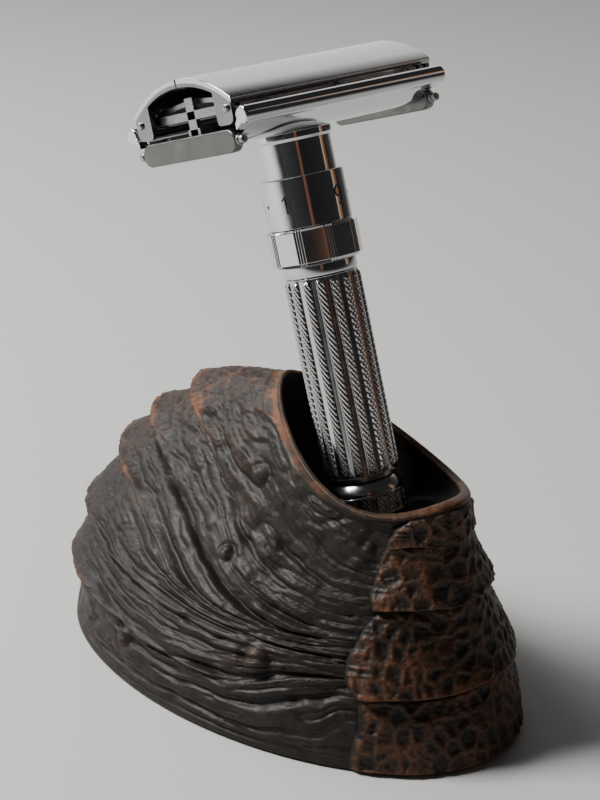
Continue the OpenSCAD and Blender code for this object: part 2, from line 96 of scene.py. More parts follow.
def cells(points, size, seed, jitter=0.85):
    """Distance to the nearest and the second nearest of scattered points, as shares of size."""
    p = points / size
    base = np.floor(p).astype(np.int64)
    first = np.full(p.shape[:-1], 9.0)
    second = np.full(p.shape[:-1], 9.0)
    for dx in (-1, 0, 1):
        for dy in (-1, 0, 1):
            for dz in (-1, 0, 1):
                c = base + np.array([dx, dy, dz])
                spot = np.stack([
                    c[..., k] + 0.5 + jitter * (lattice(c[..., 0], c[..., 1], c[..., 2], seed + k) - 0.5)
                    for k in range(3)], -1)
                d = np.linalg.norm(p - spot, axis=-1)
                second = np.where(d < first, first, np.minimum(second, d))
                first = np.minimum(first, d)
    return first, second


def grid_faces(rows, cols, around):
    """Quads over rows x cols points. around joins the last column to the first."""
    width = cols if around else cols - 1
    r, c = np.meshgrid(np.arange(rows - 1), np.arange(width), indexing="ij")
    nxt = (c + 1) % cols
    quads = np.stack([r * cols + c, r * cols + nxt, (r + 1) * cols + nxt, (r + 1) * cols + c], -1)
    return quads.reshape(-1, 4)


def full_turn(count):
    return np.arange(count) * 2 * math.pi / count


def make_mesh(name, points, quads, material, caps=(), tint=None):
    """A smooth-shaded mesh object from points in millimetres, quads, and caps as lists of point
    numbers. tint holds named values for each point, which a material can read."""
    mesh = bpy.data.meshes.new(name)
    points = np.asarray(points, float).reshape(-1, 3) * MM
    quads = np.asarray(quads, np.int64).reshape(-1, 4)
    corners = np.concatenate([quads.ravel()] + [np.asarray(c, np.int64) for c in caps])
    sizes = np.concatenate([np.full(len(quads), 4)] + [np.array([len(c)]) for c in caps])
    mesh.vertices.add(len(points))
    mesh.vertices.foreach_set("co", points.ravel())
    mesh.loops.add(len(corners))
    mesh.loops.foreach_set("vertex_index", corners.astype(np.int32))
    mesh.polygons.add(len(sizes))
    mesh.polygons.foreach_set("loop_start", np.concatenate([[0], np.cumsum(sizes)[:-1]]).astype(np.int32))
    mesh.update(calc_edges=True)
    mesh.validate()
    mesh.polygons.foreach_set("use_smooth", np.full(len(mesh.polygons), True))
    for label, values in (tint or {}).items():
        layer = mesh.attributes.new(label, "FLOAT", "POINT")
        layer.data.foreach_set("value", np.asarray(values, np.float32).ravel())
    mesh.materials.append(material)
    piece = bpy.data.objects.new(name, mesh)
    scene.collection.objects.link(piece)
    return piece


# ---- materials
def new_material(name, inputs=None):
    """A material, its node tree and its shader, with the shader's plain inputs set."""
    material = bpy.data.materials.new(name)
    material.use_nodes = True
    tree = material.node_tree
    shader = tree.nodes["Principled BSDF"]
    for key, value in (inputs or {}).items():
        shader.inputs[key].default_value = value
    return material, tree, shader


def node_of(tree, kind, inputs=None, **settings):
    node = tree.nodes.new(kind)
    for key, value in settings.items():
        setattr(node, key, value)
    for key, value in (inputs or {}).items():
        node.inputs[key].default_value = value
    return node


def ramp_of(tree, source, stops):
    """A colour ramp: stops are (place, colour) or (place, grey)."""
    ramp = tree.nodes.new("ShaderNodeValToRGB")
    points = ramp.color_ramp.elements
    while len(points) < len(stops):
        points.new(0.5)
    for point, (place, colour) in zip(points, stops):
        point.position = place
        point.color = (*colour, 1.0) if isinstance(colour, tuple) else (colour, colour, colour, 1.0)
    tree.links.new(source, ramp.inputs["Fac"])
    return ramp.outputs["Color"]


def mix_colour(tree, factor, first, second, blend="MIX"):
    mix = node_of(tree, "ShaderNodeMix", data_type="RGBA", blend_type=blend)
    for socket, value in (("Factor", factor), ("A", first), ("B", second)):
        wanted = "VALUE" if socket == "Factor" else "RGBA"
        target = [s for s in mix.inputs if s.name == socket and s.type == wanted][0]
        if isinstance(value, bpy.types.NodeSocket):
            tree.links.new(value, target)
        elif socket == "Factor":
            target.default_value = value
        else:
            target.default_value = (*value, 1.0)
    return [o for o in mix.outputs if o.type == "RGBA"][0]


def math_node(tree, operation, *values):
    node = node_of(tree, "ShaderNodeMath", operation=operation)
    for k, value in enumerate(values):
        if isinstance(value, bpy.types.NodeSocket):
            tree.links.new(value, node.inputs[k])
        else:
            node.inputs[k].default_value = value
    return node.outputs[0]


def noise_node(tree, scale, detail=4.0, rough=0.55, stretch=None):
    """A noise texture in the object's own frame, scale in features per metre."""
    coords = node_of(tree, "ShaderNodeTexCoord")
    out = coords.outputs["Object"]
    if stretch:
        mapping = node_of(tree, "ShaderNodeMapping", {"Scale": stretch})
        tree.links.new(out, mapping.inputs["Vector"])
        out = mapping.outputs["Vector"]
    node = node_of(tree, "ShaderNodeTexNoise", {"Scale": scale, "Detail": detail, "Roughness": rough})
    tree.links.new(out, node.inputs["Vector"])
    return node.outputs["Fac"]


def bump_node(tree, height, distance, strength=1.0, under=None):
    node = node_of(tree, "ShaderNodeBump", {"Distance": distance, "Strength": strength})
    tree.links.new(height, node.inputs["Height"])
    if under is not None:
        tree.links.new(under, node.inputs["Normal"])
    return node.outputs["Normal"]


def attribute(tree, name):
    return node_of(tree, "ShaderNodeAttribute", attribute_name=name).outputs["Fac"]


def patina(name, dark, brown, copper, copper_start):
    """Dark bronze patina, worn to copper brown where the relief stands proud."""
    material, tree, shader = new_material(
        name, {"Specular IOR Level": 0.26, "Coat Weight": 0.06, "Coat Roughness": 0.25})
    relief = attribute(tree, "relief")
    warmth = attribute(tree, "warmth")
    patches = noise_node(tree, 260.0, 6.0, 0.62)
    grains = noise_node(tree, 1500.0, 5.0, 0.7)
    scuffs = noise_node(tree, 5200.0, 3.0, 0.6)
    blotch = math_node(tree, "MULTIPLY_ADD", patches, 0.9, -0.45)
    fleck = math_node(tree, "MULTIPLY_ADD", grains, 0.75, -0.375)
    height = math_node(tree, "ADD", relief, blotch)
    height = math_node(tree, "ADD", height, fleck)
    height = math_node(tree, "ADD", height, warmth)
    worn = ramp_of(tree, height, [(copper_start, 0.0), (copper_start + 0.34, 1.0)])
    base = ramp_of(tree, patches, [(0.3, dark), (0.7, tuple(1.7 * c for c in dark))])
    colour = mix_colour(tree, worn, base, brown)
    bright = ramp_of(tree, height, [(copper_start + 0.3, 0.0), (min(1.0, copper_start + 0.62), 1.0)])
    colour = mix_colour(tree, bright, colour, copper)
    tree.links.new(colour, shader.inputs["Base Color"])
    metal = math_node(tree, "MULTIPLY", bright, 0.35)
    tree.links.new(metal, shader.inputs["Metallic"])
    rough = ramp_of(tree, grains, [(0.25, 0.4), (0.75, 0.62)])
    tree.links.new(rough, shader.inputs["Roughness"])
    coarse = bump_node(tree, grains, 0.00022, 0.55)
    fine = bump_node(tree, scuffs, 0.00006, 0.5, coarse)
    tree.links.new(fine, shader.inputs["Normal"])
    return material


def chrome(name, colour=(0.62, 0.62, 0.63), rough=0.07, brushed=None):
    """Bright plating with faint waviness, smears and hairline scratches."""
    material, tree, shader = new_material(name, {"Metallic": 1.0})
    smear = noise_node(tree, 330.0, 4.0, 0.6)
    tone = ramp_of(tree, smear, [(0.3, tuple(0.93 * c for c in colour)), (0.7, colour)])
    tree.links.new(tone, shader.inputs["Base Color"])
    hair = noise_node(tree, 900.0, 3.0, 0.7, brushed or (1.0, 0.12, 0.4))
    mixed = math_node(tree, "MULTIPLY", smear, hair)
    gloss = ramp_of(tree, mixed, [(0.1, rough * 0.75), (0.45, rough * 1.9)])
    tree.links.new(gloss, shader.inputs["Roughness"])
    wave = noise_node(tree, 160.0, 2.0, 0.5)
    tree.links.new(bump_node(tree, wave, 0.00002, 0.35), shader.inputs["Normal"])
    return material


def turned_metal(name, colour, rough):
    """Turned metal: fine rings of tool marks and slight tarnish."""
    material, tree, shader = new_material(name, {"Metallic": 1.0})
    tarnish = noise_node(tree, 500.0, 5.0, 0.6)
    tone = ramp_of(tree, tarnish, [(0.3, tuple(0.72 * c for c in colour)), (0.7, colour)])
    tree.links.new(tone, shader.inputs["Base Color"])
    marks = noise_node(tree, 2600.0, 2.0, 0.5, (0.1, 0.1, 1.0))
    tree.links.new(ramp_of(tree, marks, [(0.3, rough * 0.7), (0.7, rough * 1.4)]), shader.inputs["Roughness"])
    tree.links.new(bump_node(tree, marks, 0.00003, 0.4), shader.inputs["Normal"])
    return material


def felt(name):
    material, tree, shader = new_material(name, {"Roughness": 0.95, "Sheen Weight": 0.4})
    fuzz = noise_node(tree, 4200.0, 5.0, 0.7)
    clumps = noise_node(tree, 420.0, 3.0, 0.6)
    tone = ramp_of(tree, fuzz, [(0.3, (0.006, 0.012, 0.008)), (0.7, (0.02, 0.034, 0.024))])
    tone = mix_colour(tree, clumps, tone, (0.014, 0.024, 0.017))
    tree.links.new(tone, shader.inputs["Base Color"])
    tree.links.new(bump_node(tree, fuzz, 0.0002, 0.8), shader.inputs["Normal"])
    return material


def plaster(name):
    material, tree, shader = new_material(name, {"Roughness": 0.9})
    grit = noise_node(tree, 1800.0, 5.0, 0.6)
    tone = ramp_of(tree, grit, [(0.3, (0.4, 0.37, 0.32)), (0.7, (0.55, 0.52, 0.46))])
    tree.links.new(tone, shader.inputs["Base Color"])
    tree.links.new(bump_node(tree, grit, 0.0002, 0.6), shader.inputs["Normal"])
    return material


def ink(name):
    material, tree, shader = new_material(name, {"Roughness": 0.45})
    speck = noise_node(tree, 6000.0, 2.0, 0.5)
    tree.links.new(ramp_of(tree, speck, [(0.3, 0.006), (0.7, 0.014)]), shader.inputs["Base Color"])
    return material


DARK = (0.0082, 0.0058, 0.0043)
BROWN = (0.038, 0.0175, 0.0095)
COPPER = (0.14, 0.058, 0.026)
SCUTE_BROWN = (0.058, 0.025, 0.012)
SCUTE_COPPER = (0.14, 0.06, 0.028)
hide_patina = patina("hide_patina", DARK, BROWN, COPPER, 0.49)
scute_patina = patina("scute_patina", DARK, SCUTE_BROWN, SCUTE_COPPER, 0.42)
bright_chrome = chrome("bright_chrome")
knurl_chrome = chrome("knurl_chrome", (0.55, 0.55, 0.55), 0.14)
satin_steel = turned_metal("satin_steel", (0.42, 0.42, 0.43), 0.3)
turned_brass = turned_metal("turned_brass", (0.6, 0.44, 0.2), 0.25)
brushed_plate = chrome("brushed_plate", (0.17, 0.17, 0.165), 0.3, (0.3, 1.0, 0.06))
worn_plate = chrome("worn_plate", (0.26, 0.26, 0.26), 0.16, (0.3, 1.0, 0.1))
felt_green = felt("felt_green")
fill_plaster = plaster("fill_plaster")
black_ink = ink("black_ink")


# ---- hide
FOOT_LENGTH, FOOT_WIDTH, FOOT_Z = 95.2, 55.6, 0.5
FOOT_SCUTE = 1.2  # how far the lowest scute reaches out at the foot
NAPE_Z, BELLY_LIP_Z = 51.8, 41.0
LIP_BACK, LIP_FRONT, LIP_HALF_W, LIP_WALL = -0.866, 38.296, 11.7, 1.2
LEAN = math.radians(17.5)
SEAT = (19.4, 0.0, 33.5)  # middle of the knob's flat end
SEAT_GAP = 0.3
GRIP_R = 6.1
FLOOR_R = GRIP_R + 2.0
FLOOR_FRONT_ROOM, FLOOR_BACK_ROOM = 1.6, 0.6

# The body's lines, a row a section from foot to lip, as the CAD shell has them: shares of the
# way from lip to foot for the back's x, of the height for the back's z, the same two for the
# belly, the half width's share, then narrowing, forward and down shifts, pointedness and dip.
LINES = np.array([
    [1.000, 0.000, 1.000, 0.000, 1.000, -0.03, 0.0, 0.0, 1.00, 0.0],
    [0.957, 0.147, 0.809, 0.156, 1.006, -0.02, 0.0, 0.3, 1.00, 0.0],
    [0.944, 0.306, 0.467, 0.321, 0.884, 0.02, 0.3, 1.0, 1.00, 0.0],
    [0.888, 0.459, 0.262, 0.477, 0.690, 0.07, 0.8, 2.1, 1.05, 0.2],
    [0.745, 0.633, 0.124, 0.629, 0.450, 0.13, 1.2, 3.2, 1.12, 0.5],
    [0.531, 0.787, 0.040, 0.773, 0.205, 0.15, 1.4, 4.2, 1.20, 0.9],
    [0.289, 0.917, 0.012, 0.917, 0.060, 0.13, 1.5, 4.9, 1.26, 1.3],
    [0.000, 1.000, 0.000, 1.000, 0.000, 0.10, 1.5, 5.1, 1.28, 1.6],
])


def lines_at(v):
    """The row of body lines at height v, by a smooth curve through the rows."""
    last = len(LINES) - 1
    s = np.asarray(v, float) * last
    i = np.clip(np.floor(s).astype(int), 0, last - 1)
    t = (s - i)[..., None]
    a, b, c, d = (LINES[np.clip(i + k, 0, last)] for k in (-1, 0, 1, 2))
    return 0.5 * (2 * b + (c - a) * t + (2 * a - 5 * b + 4 * c - d) * t * t
                  + (3 * b - a - 3 * c + d) * t ** 3)


def section(back, back_z, front, front_z, half_w, narrow, forward, down, pointed, dip, angle):
    """Ring of the body from its back and belly points, its half width and its five shape values."""
    a = np.radians(angle)
    ca, sa = np.cos(a), np.sin(a)
    x = (back + front) / 2 + (back - front) / 2 * ca + forward * sa * sa
    y = half_w * sa * np.maximum(0.001, np.abs(sa)) ** np.maximum(0, pointed - 1) * (1 - narrow * ca)
    z = (back_z + front_z) / 2 + (back_z - front_z) / 2 * ca - (down - dip * ca) * sa * sa
    return np.stack(np.broadcast_arrays(x, y, z), -1)


def skin(angle, v):
    """Point of the smooth body."""
    f = lines_at(v)
    return section(
        LIP_BACK + (-FOOT_LENGTH / 2 - LIP_BACK) * f[..., 0],
        FOOT_Z + (NAPE_Z - FOOT_Z) * f[..., 1],
        LIP_FRONT + (FOOT_LENGTH / 2 - FOOT_SCUTE - LIP_FRONT) * f[..., 2],
        FOOT_Z + (BELLY_LIP_Z - FOOT_Z) * f[..., 3],
        LIP_HALF_W + (FOOT_WIDTH / 2 - LIP_HALF_W) * f[..., 4],
        f[..., 5], f[..., 6], f[..., 7], f[..., 8], f[..., 9], angle)


def skin_normal(angle, v):
    up = skin(angle, v + 0.004) - skin(angle, v - 0.004)
    along = skin(angle + 0.5, v) - skin(angle - 0.5, v)
    n = np.cross(up, along)
    return n / np.linalg.norm(n, axis=-1, keepdims=True)


def flow(b, v):
    """Label of the fold line through a place. The folds leave the plates level, bend down the
    flank and close up towards the middle of the belly seam."""
    upper = 0.23 * smooth((v - 0.36) / 0.1) * (1 - 0.8 * smooth((v - 0.6) / 0.45))
    lower = 0.12 * smooth(v / 0.25) * (1 - smooth((v - 0.28) / 0.1))
    return v + smooth((b - 50) / 88) * upper - smooth((b - 104) / 34) * lower


PLATE_EDGES = (0.214, 0.357, 0.53, 0.645, 0.782)
PLATE_STEP = 2.1  # how far a plate's free edge stands over the body


def plates(t):
    """Rise of the back plates over the body, and how near a place is to a plate's free edge, first
    on the plate and then in the crease under it."""
    rise = np.zeros_like(t)
    near_edge = np.zeros_like(t)
    shade = np.zeros_like(t)
    tops = PLATE_EDGES[1:] + (1.02,)
    for low, high in zip(PLATE_EDGES, tops):
        share = np.clip((high - t) / (high - low), 0, 1)
        inside = smooth((t - low) / 0.006 + 0.5) * (t < high)
        rise += np.where(t < high, PLATE_STEP * share ** 1.3, 0) * inside
        near_edge += inside * np.exp(-((t - low) / 0.02) ** 2)
        shade += np.where(t < low, np.exp(-((t - low) / 0.014) ** 2), 0)
    return rise, near_edge, shade


def wrap_of(b):
    """How much of the back plates shows: 1 at the spine, fading out down the flank."""
    return np.maximum(0.0, np.cos(np.radians(b / 1.4))) ** 1.2


# Deep folds: line label, from angle, to angle, depth, and half width as a share of the height
FOLDS = (
    (0.640, 62, 133, 1.15, 0.011), (0.775, 84, 128, 0.60, 0.009), (0.560, 70, 112, 0.50, 0.010),
    (0.700, 98, 136, 0.60, 0.009), (0.480, 60, 104, 0.50, 0.010), (0.420, 82, 136, 0.65, 0.010),
    (0.850, 104, 138, 0.45, 0.008), (0.910, 96, 138, 0.35, 0.007), (0.955, 70, 138, 0.30, 0.006),
    (0.300, 58, 124, 0.60, 0.011), (0.225, 96, 138, 0.95, 0.012), (0.140, 84, 138, 0.90, 0.012),
    (0.075, 66, 136, 0.70, 0.010), (0.035, 40, 128, 0.40, 0.008), (0.255, 30, 84, 0.50, 0.010),
    (0.180, 52, 96, 0.50, 0.010),
)
# Wart-like bosses on the seen side: angle, v, radius, height
WARTS = ((76, 0.850, 1.3, 0.55), (93, 0.600, 1.0, 0.55), (116, 0.312, 1.9, 1.0), (76, 0.180, 1.5, 0.8))


def hide_relief(angle, v, points):
    """Displacement in millimetres, the relief that the patina follows, and a warmth that tints the colour
    towards copper.
    """
    b = np.where(angle > 180, 360 - angle, angle)
    x, y, z = (points[..., k] for k in range(3))
    t = flow(b, v)
    drift = 0.011 * noise(x / 9, y / 9, z / 9, 11) + 0.005 * noise(x / 3.2, y / 3.2, z / 3.2, 12)
    t = t + drift * window(b, 30, 150, 25) * smooth(v / 0.08)
    wrap = wrap_of(b)
    ragged = 0.004 * noise(b / 6, y / 3, 3.0, 13) + 0.007 * noise(b / 22, y / 9, 7.0, 14)
    rise, near_edge, shade = plates(flow(b, v) + ragged)
    d = wrap * (1.12 * rise + 0.35 * near_edge - 1.0 * shade)

    flank = smooth((b - 16) / 40)
    side = y * 0.05
    coarse = grooves(t * 15, b / 30, side, 21, 2.2)
    medium = grooves(t * 36, b / 17, side, 22, 2.4)
    fine = grooves(t * 78, b / 11, side, 23, 2.2)
    hair = grooves(t * 150, b / 8, side, 24, 2.0)
    swell = noise(t * 9, b / 34, side, 25)
    low = smooth((v - 0.02) / 0.05)
    lip = 1 - smooth((v - 0.955) / 0.03)
    strands = (0.46 * (coarse - 0.8) + 0.34 * (medium - 0.75) + 0.2 * swell) * flank
    strands += 0.2 * (fine - 0.7) * (0.35 + 0.65 * flank) + 0.1 * (hair - 0.7)
    d += strands * low * lip

    cut = np.zeros_like(d)
    for label, start, end, depth, half in FOLDS:
        wobble = 0.006 * noise(b / 14, label * 90, side, 31)
        reach = window(b, start + 6, end - 6, 12)
        cut = np.maximum(cut, reach * depth * np.exp(-np.abs((t + wobble - label) / half) ** 1.6))
    d -= cut * lip

    boss = np.zeros_like(d)
    for wart_b, wart_v, radius, height in WARTS:
        for place in (360 - wart_b, wart_b + 9):
            centre = skin(np.array(float(place)), np.array(wart_v if place > 180 else wart_v - 0.03))
            gap = np.linalg.norm(points - centre, axis=-1) / radius
            boss = np.maximum(boss, height * np.exp(-gap ** 3))
            d -= 0.35 * height * np.exp(-((gap - 1.45) / 0.35) ** 2)
    d += boss

    first, second = cells(points, 1.9, 41)
    pebble = smooth((second - first) / 0.42)
    scales = 1 - smooth((b - 34) / 40)
    d -= (0.13 * pebble - 0.05) * (0.2 + 0.8 * scales) * low * lip * smooth((v - 0.16) / 0.2)
    d += 0.05 * noise(x / 0.8, y / 0.8, z / 0.8, 42)

    # everything calms down at the foot and at the rolled lip
    d = d * smooth((v + 0.01) / 0.05) * (1 - 0.85 * smooth((v - 0.955) / 0.035))
    relief = 0.5 + 0.42 * (strands - cut) + 0.3 * boss + wrap * (0.3 * near_edge - 0.5 * shade)
    relief += 0.22 * (0.5 - pebble) * scales
    # the colour is lighter near the rolled lip
    relief += 0.3 * smooth((v - 0.96) / 0.03)
    # warmth: more copper higher up the back along the spine and at the lip, less down the flanks
    warmth = 0.2 * smooth((v - 0.35) / 0.45) * wrap + 0.06 * scales - 0.06 + 0.08 * smooth((v - 0.95) / 0.05)
    return d, relief, warmth


def lip_ring(angle, inset, rise):
    """Ring of the rolled lip or its inner wall, set in from the body and raised."""
    share = inset / LIP_WALL
    shape = LINES[-1, 5:10] - np.array([0, 0, 0, 0.08 * share, 0])
    return section(LIP_BACK + inset, NAPE_Z + rise, LIP_FRONT - inset - 1.2 * share,
                   BELLY_LIP_Z + rise, LIP_HALF_W - inset, *shape, angle)


def floor_ring(angle, radius):
    """Ring of the socket's floor, square to the handle, with more room towards the belly."""
    ca, sa = np.cos(np.radians(angle)), np.sin(np.radians(angle))
    room = np.where(ca < 0, FLOOR_FRONT_ROOM, FLOOR_BACK_ROOM)
    local_x = -(radius + room * radius / FLOOR_R) * ca
    return np.stack([
        SEAT[0] + local_x * math.cos(LEAN) + SEAT_GAP * math.sin(LEAN),
        radius * sa,
        SEAT[2] + local_x * math.sin(LEAN) - SEAT_GAP * math.cos(LEAN)], -1)


def make_socket(angle):
    """Rings over the rolled lip, down the socket's wall and in over its floor, and how many roll."""
    roll = [math.radians(r) for r in range(15, 180, 15)]
    lips = [lip_ring(angle, LIP_WALL / 2 * (1 - math.cos(r)), 0.5 * math.sin(r)) for r in roll]
    inner = lip_ring(angle, LIP_WALL, 0.0)
    fall = floor_ring(angle, FLOOR_R) - inner
    walls = []
    for s in np.linspace(0, 1, 26)[1:]:
        ring = inner.copy()
        ring[:, :2] += fall[:, :2] * s ** 1.75
        ring[:, 2] += fall[:, 2] * (1 - (1 - s) ** 1.7)
        walls.append(ring)
    floors = [floor_ring(angle, FLOOR_R * s) for s in (0.97, 0.9, 0.75, 0.5, 0.25, 0.05)]
    inside = np.stack(lips + [inner] + walls + floors)
    uneven = 0.1 * noise(inside[..., 0] / 4, inside[..., 1] / 4, inside[..., 2] / 4, 51)
    below_lip = np.linspace(0, 1, len(inside))[:, None] > 0.3
    inside[..., 2] += np.minimum(uneven, 0.02) * below_lip
    return inside, len(lips)


def make_hide():
    # 230 even rows are steps of about 0.3 mm up the sloping back
    cols, rows_up = 640, 230
    around = np.arange(cols) * 360.0 / cols
    a, v = np.broadcast_arrays(around[None, :], np.linspace(0, 1, rows_up)[:, None])
    points = skin(a, v)
    normals = skin_normal(a, np.clip(v, 0.004, 0.996))
    d, relief, warmth = hide_relief(a, v, points)
    outer = points + normals * d[..., None]
    outer[..., 2] = np.maximum(outer[..., 2], FOOT_Z)

    # underside: foot ring, then up into the felt's recess
    inset, recess = 2.5, 1.4
    foot = np.stack([
        -(FOOT_LENGTH / 2 - inset) * np.cos(np.radians(around)),
        (FOOT_WIDTH / 2 - inset) * np.sin(np.radians(around)),
        np.full(cols, FOOT_Z)], -1)
    recessed = foot.copy()
    recessed[:, 2] = recess
    inside, lips = make_socket(around)

    rings = np.concatenate([recessed[None], foot[None], outer, inside])
    rows = len(rings)
    body = slice(2, 2 + rows_up)
    lip = slice(2 + rows_up, 2 + rows_up + lips)
    level = np.full((rows, cols), 0.42)
    warm = np.full((rows, cols), 0.0)
    level[body], warm[body] = relief, warmth
    # the rolled lip is coloured a lighter, warmer brown than the body
    level[lip], warm[lip] = 0.74, 0.08
    quads = grid_faces(rows, cols, True)[:, ::-1]
    first_ring = list(range(cols))
    last_ring = list(range((rows - 1) * cols, rows * cols))[::-1]
    piece = make_mesh("hide_skin", rings, quads, hide_patina, [first_ring, last_ring],
                      tint={"relief": level, "warmth": warm})
    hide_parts("hide_shell")
    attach(piece, "stand")
    return piece


# Scutes: name, lower and upper v, half angle at the lower, middle and upper edge, thickness
SCUTES = (
    ("belly_scute_lower", 0.000, 0.262, (43, 40, 37), 1.1),
    ("belly_scute_middle", 0.245, 0.575, (38, 40, 33), 2.7),
    ("belly_scute_upper", 0.560, 0.825, (37, 41, 41), 2.7),
    ("belly_scute_collar", 0.805, 0.975, (41, 42, 36), 1.1),
)


def make_scute(name, low, high, halves, edge, seed):
    """A pebbled plate over the belly. p runs across it from -1 to 1, and q up it from 0 to 1."""
    cols, rows = 190, max(40, int((high - low) * 300))
    p = np.linspace(-1, 1, cols)[None, :]
    q = np.linspace(0, 1, rows)[:, None]
    p, q = np.broadcast_arrays(p, q)
    half = (halves[0] * (1 - q) * (1 - 2 * q) + 4 * halves[1] * q * (1 - q) + halves[2] * q * (2 * q - 1))
    ragged = 1 + 0.025 * noise(q * 5, np.sign(p) * 3, 0.5, seed) * np.abs(p)
    a = 180 + p * half * ragged
    v = low + (high - low) * q + 0.008 * (1 - q) * noise(p * 4, 1.5, 0.5, seed + 1) * (low > 0)
    points = skin(a, v)
    normals = skin_normal(a, np.clip(v, 0.004, 0.996))
    thick = 0.4 + (edge - 0.4) * (1 - q) ** 1.25
    flank = 1 - 0.6 * np.abs(p) ** 4
    rim = smooth((1 - np.abs(p)) / 0.05) ** 0.5 * smooth(q / 0.035) ** 0.5 * smooth((1 - q) / 0.1)
    first, second = cells(points * np.array([1.0, 1.0, 0.85]), 2.5, seed + 2, 0.8)
    dimple = smooth((second - first) / 0.5)
    small, small2 = cells(points, 1.1, seed + 3)
    crackle = smooth((small2 - small) / 0.35)
    x, y, z = (points[..., k] for k in range(3))
    streaks = ridges(v * 46, (a - 180) / 9, 1.0, seed + 4) * smooth((np.abs(p) - 0.72) / 0.2)
    relief_mm = 0.34 * (0.45 - dimple) - 0.08 * crackle + 0.2 * streaks
    relief_mm += 0.12 * noise(x / 4, y / 4, z / 4, seed + 5)
    offset = 0.12 + rim * np.maximum(0.08, thick * flank + relief_mm)
    outer = points + normals * offset[..., None]
    inner = points + normals * 0.06
    outer[..., 2] = np.maximum(outer[..., 2], 0.45)
    inner[..., 2] = np.maximum(inner[..., 2], 0.45)
    count = rows * cols
    front = grid_faces(rows, cols, False)[:, ::-1]
    back = grid_faces(rows, cols, False) + count
    bottom = np.arange(cols)
    top = bottom + (rows - 1) * cols
    left = np.arange(rows) * cols
    right = left + cols - 1

    def strip(line, flip):
        sides = np.stack([line[:-1], line[1:], line[1:] + count, line[:-1] + count], -1)
        return sides[:, ::-1] if flip else sides
    quads = np.concatenate([front, back, strip(bottom, False), strip(top, True),
                            strip(left, True), strip(right, False)])
    relief = 0.62 - 0.34 * dimple + 0.1 * (1 - crackle) + 0.12 * streaks
    relief += 0.16 * (1 - smooth(q / 0.12)) - 0.5 * (1 - rim)
    warmth = 0.05 + 0.06 * noise(x / 7, y / 7, z / 7, seed + 6)
    blank = np.full((rows, cols), 0.1)
    piece = make_mesh(name + "_plate", np.concatenate([outer.reshape(-1, 3), inner.reshape(-1, 3)]),
                      quads, scute_patina,
                      tint={"relief": np.concatenate([relief.ravel(), blank.ravel()]),
                            "warmth": np.concatenate([warmth.ravel(), blank.ravel()])})
    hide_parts(name)
    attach(piece, "stand")
    return piece


make_hide()
for number, (name, low, high, halves, edge) in enumerate(SCUTES):
    make_scute(name, low, high, halves, edge, 60 + 10 * number)


# ---- razor: tools
KNOB_TOP, GRIP_Z0, GRIP_Z1 = 5.9, 6.7, 39.0
COLLAR_Z0, COLLAR_Z1 = 39.1, 41.0
RING_Z0, RING_Z1 = 41.1, 46.8
DIAL_Z0, DIAL_Z1 = 46.9, 54.8
FLANGE_Z0, FLANGE_Z1 = 60.5, 61.6
NECK_R, DIAL_R, RING_R, DIAL_BORE = 5.7, 6.6, 7.25, 5.85
TUBE_R, STEM_R, HUB_R = 3.4, 3.2, 4.2
PLATE_Z, FLOOR_TOP = 61.7, 63.1
BAR_X, BAR_Z, BAR_R = 13.55, 65.6, 1.4
LIP_Z, CREST_Z, DOOR_HALF_W, DOOR_HALF_L, DOOR_T = 68.4, 72.7, 12.1, 20.5, 0.8
ARCH_POWER = 2.1
PIN_X, PIN_Z, PIN_R = 10.6, 67.0, 0.6
BEAM_Z, BEAM_H, BEAM_HALF_W = 63.8, 1.2, 1.5
ARM_Y, ARM_T = 18.0, 0.8
TRAY_Z, TRAY_T, TRAY_HALF_L, TRAY_HALF_W = 69.3, 0.8, 17.7, 11.5
CAP_Y, CAP_Z, CAP_H, CAP_HALF_W = 19.0, 62.25, 3.5, 11.35
LANDS = 16


def in_razor(points):
    """From the razor's own frame, x to the belly and z up its handle, to the shared frame."""
    p = np.asarray(points, float)
    forward = np.array([math.cos(LEAN), 0.0, math.sin(LEAN)])
    up = np.array([-math.sin(LEAN), 0.0, math.cos(LEAN)])
    side = np.array([0.0, 1.0, 0.0])
    return np.array(SEAT) + p[..., :1] * forward + p[..., 1:2] * side + p[..., 2:3] * up


def softened(outline, radius, steps=3):
    """A closed outline with its sharp corners rounded, and a point beside each to keep flats flat."""
    pts = np.asarray(outline, float)
    out = []
    for k in range(len(pts)):
        before, here, after = pts[k - 1], pts[k], pts[(k + 1) % len(pts)]
        back, ahead = before - here, after - here
        long_back, long_ahead = np.linalg.norm(back), np.linalg.norm(ahead)
        back, ahead = back / long_back, ahead / long_ahead
        bend = math.acos(max(-1.0, min(1.0, float(-back @ ahead))))
        if bend < math.radians(20):
            out.append(here)
            continue
        cut = min(radius * math.tan(bend / 2), 0.4 * long_back, 0.4 * long_ahead)
        out.append(here + back * cut * 1.2)
        for s in np.linspace(0, 1, steps + 1):
            start, end = here + back * cut, here + ahead * cut
            out.append((1 - s) ** 2 * start + 2 * s * (1 - s) * here + s * s * end)
        out.append(here + ahead * cut * 1.2)
    return np.array(out)


def end_caps(rows, cols):
    """Caps over the first and the last of rows rings with cols points each."""
    return [list(range(cols))[::-1], list(range((rows - 1) * cols, rows * cols))]


def turned(outline, cols, shape=None, capped=False):
    """The outline, in radius and height, turned round the handle's axis: a closed ring or, when
    capped, a solid whose outline starts and ends near the axis."""
    turn = full_turn(cols)
    r, a = np.broadcast_arrays(outline[:, :1], turn[None, :])
    z = np.broadcast_to(outline[:, 1:], r.shape)
    if shape is not None:
        r = shape(a, r, z)
    points = np.stack([r * np.cos(a), r * np.sin(a), z], -1)
    if capped:
        return points.reshape(-1, 3), grid_faces(len(outline), cols, True), end_caps(len(outline), cols)
    quads = grid_faces(len(outline) + 1, cols, True) % (len(outline) * cols)
    return points.reshape(-1, 3), quads, []


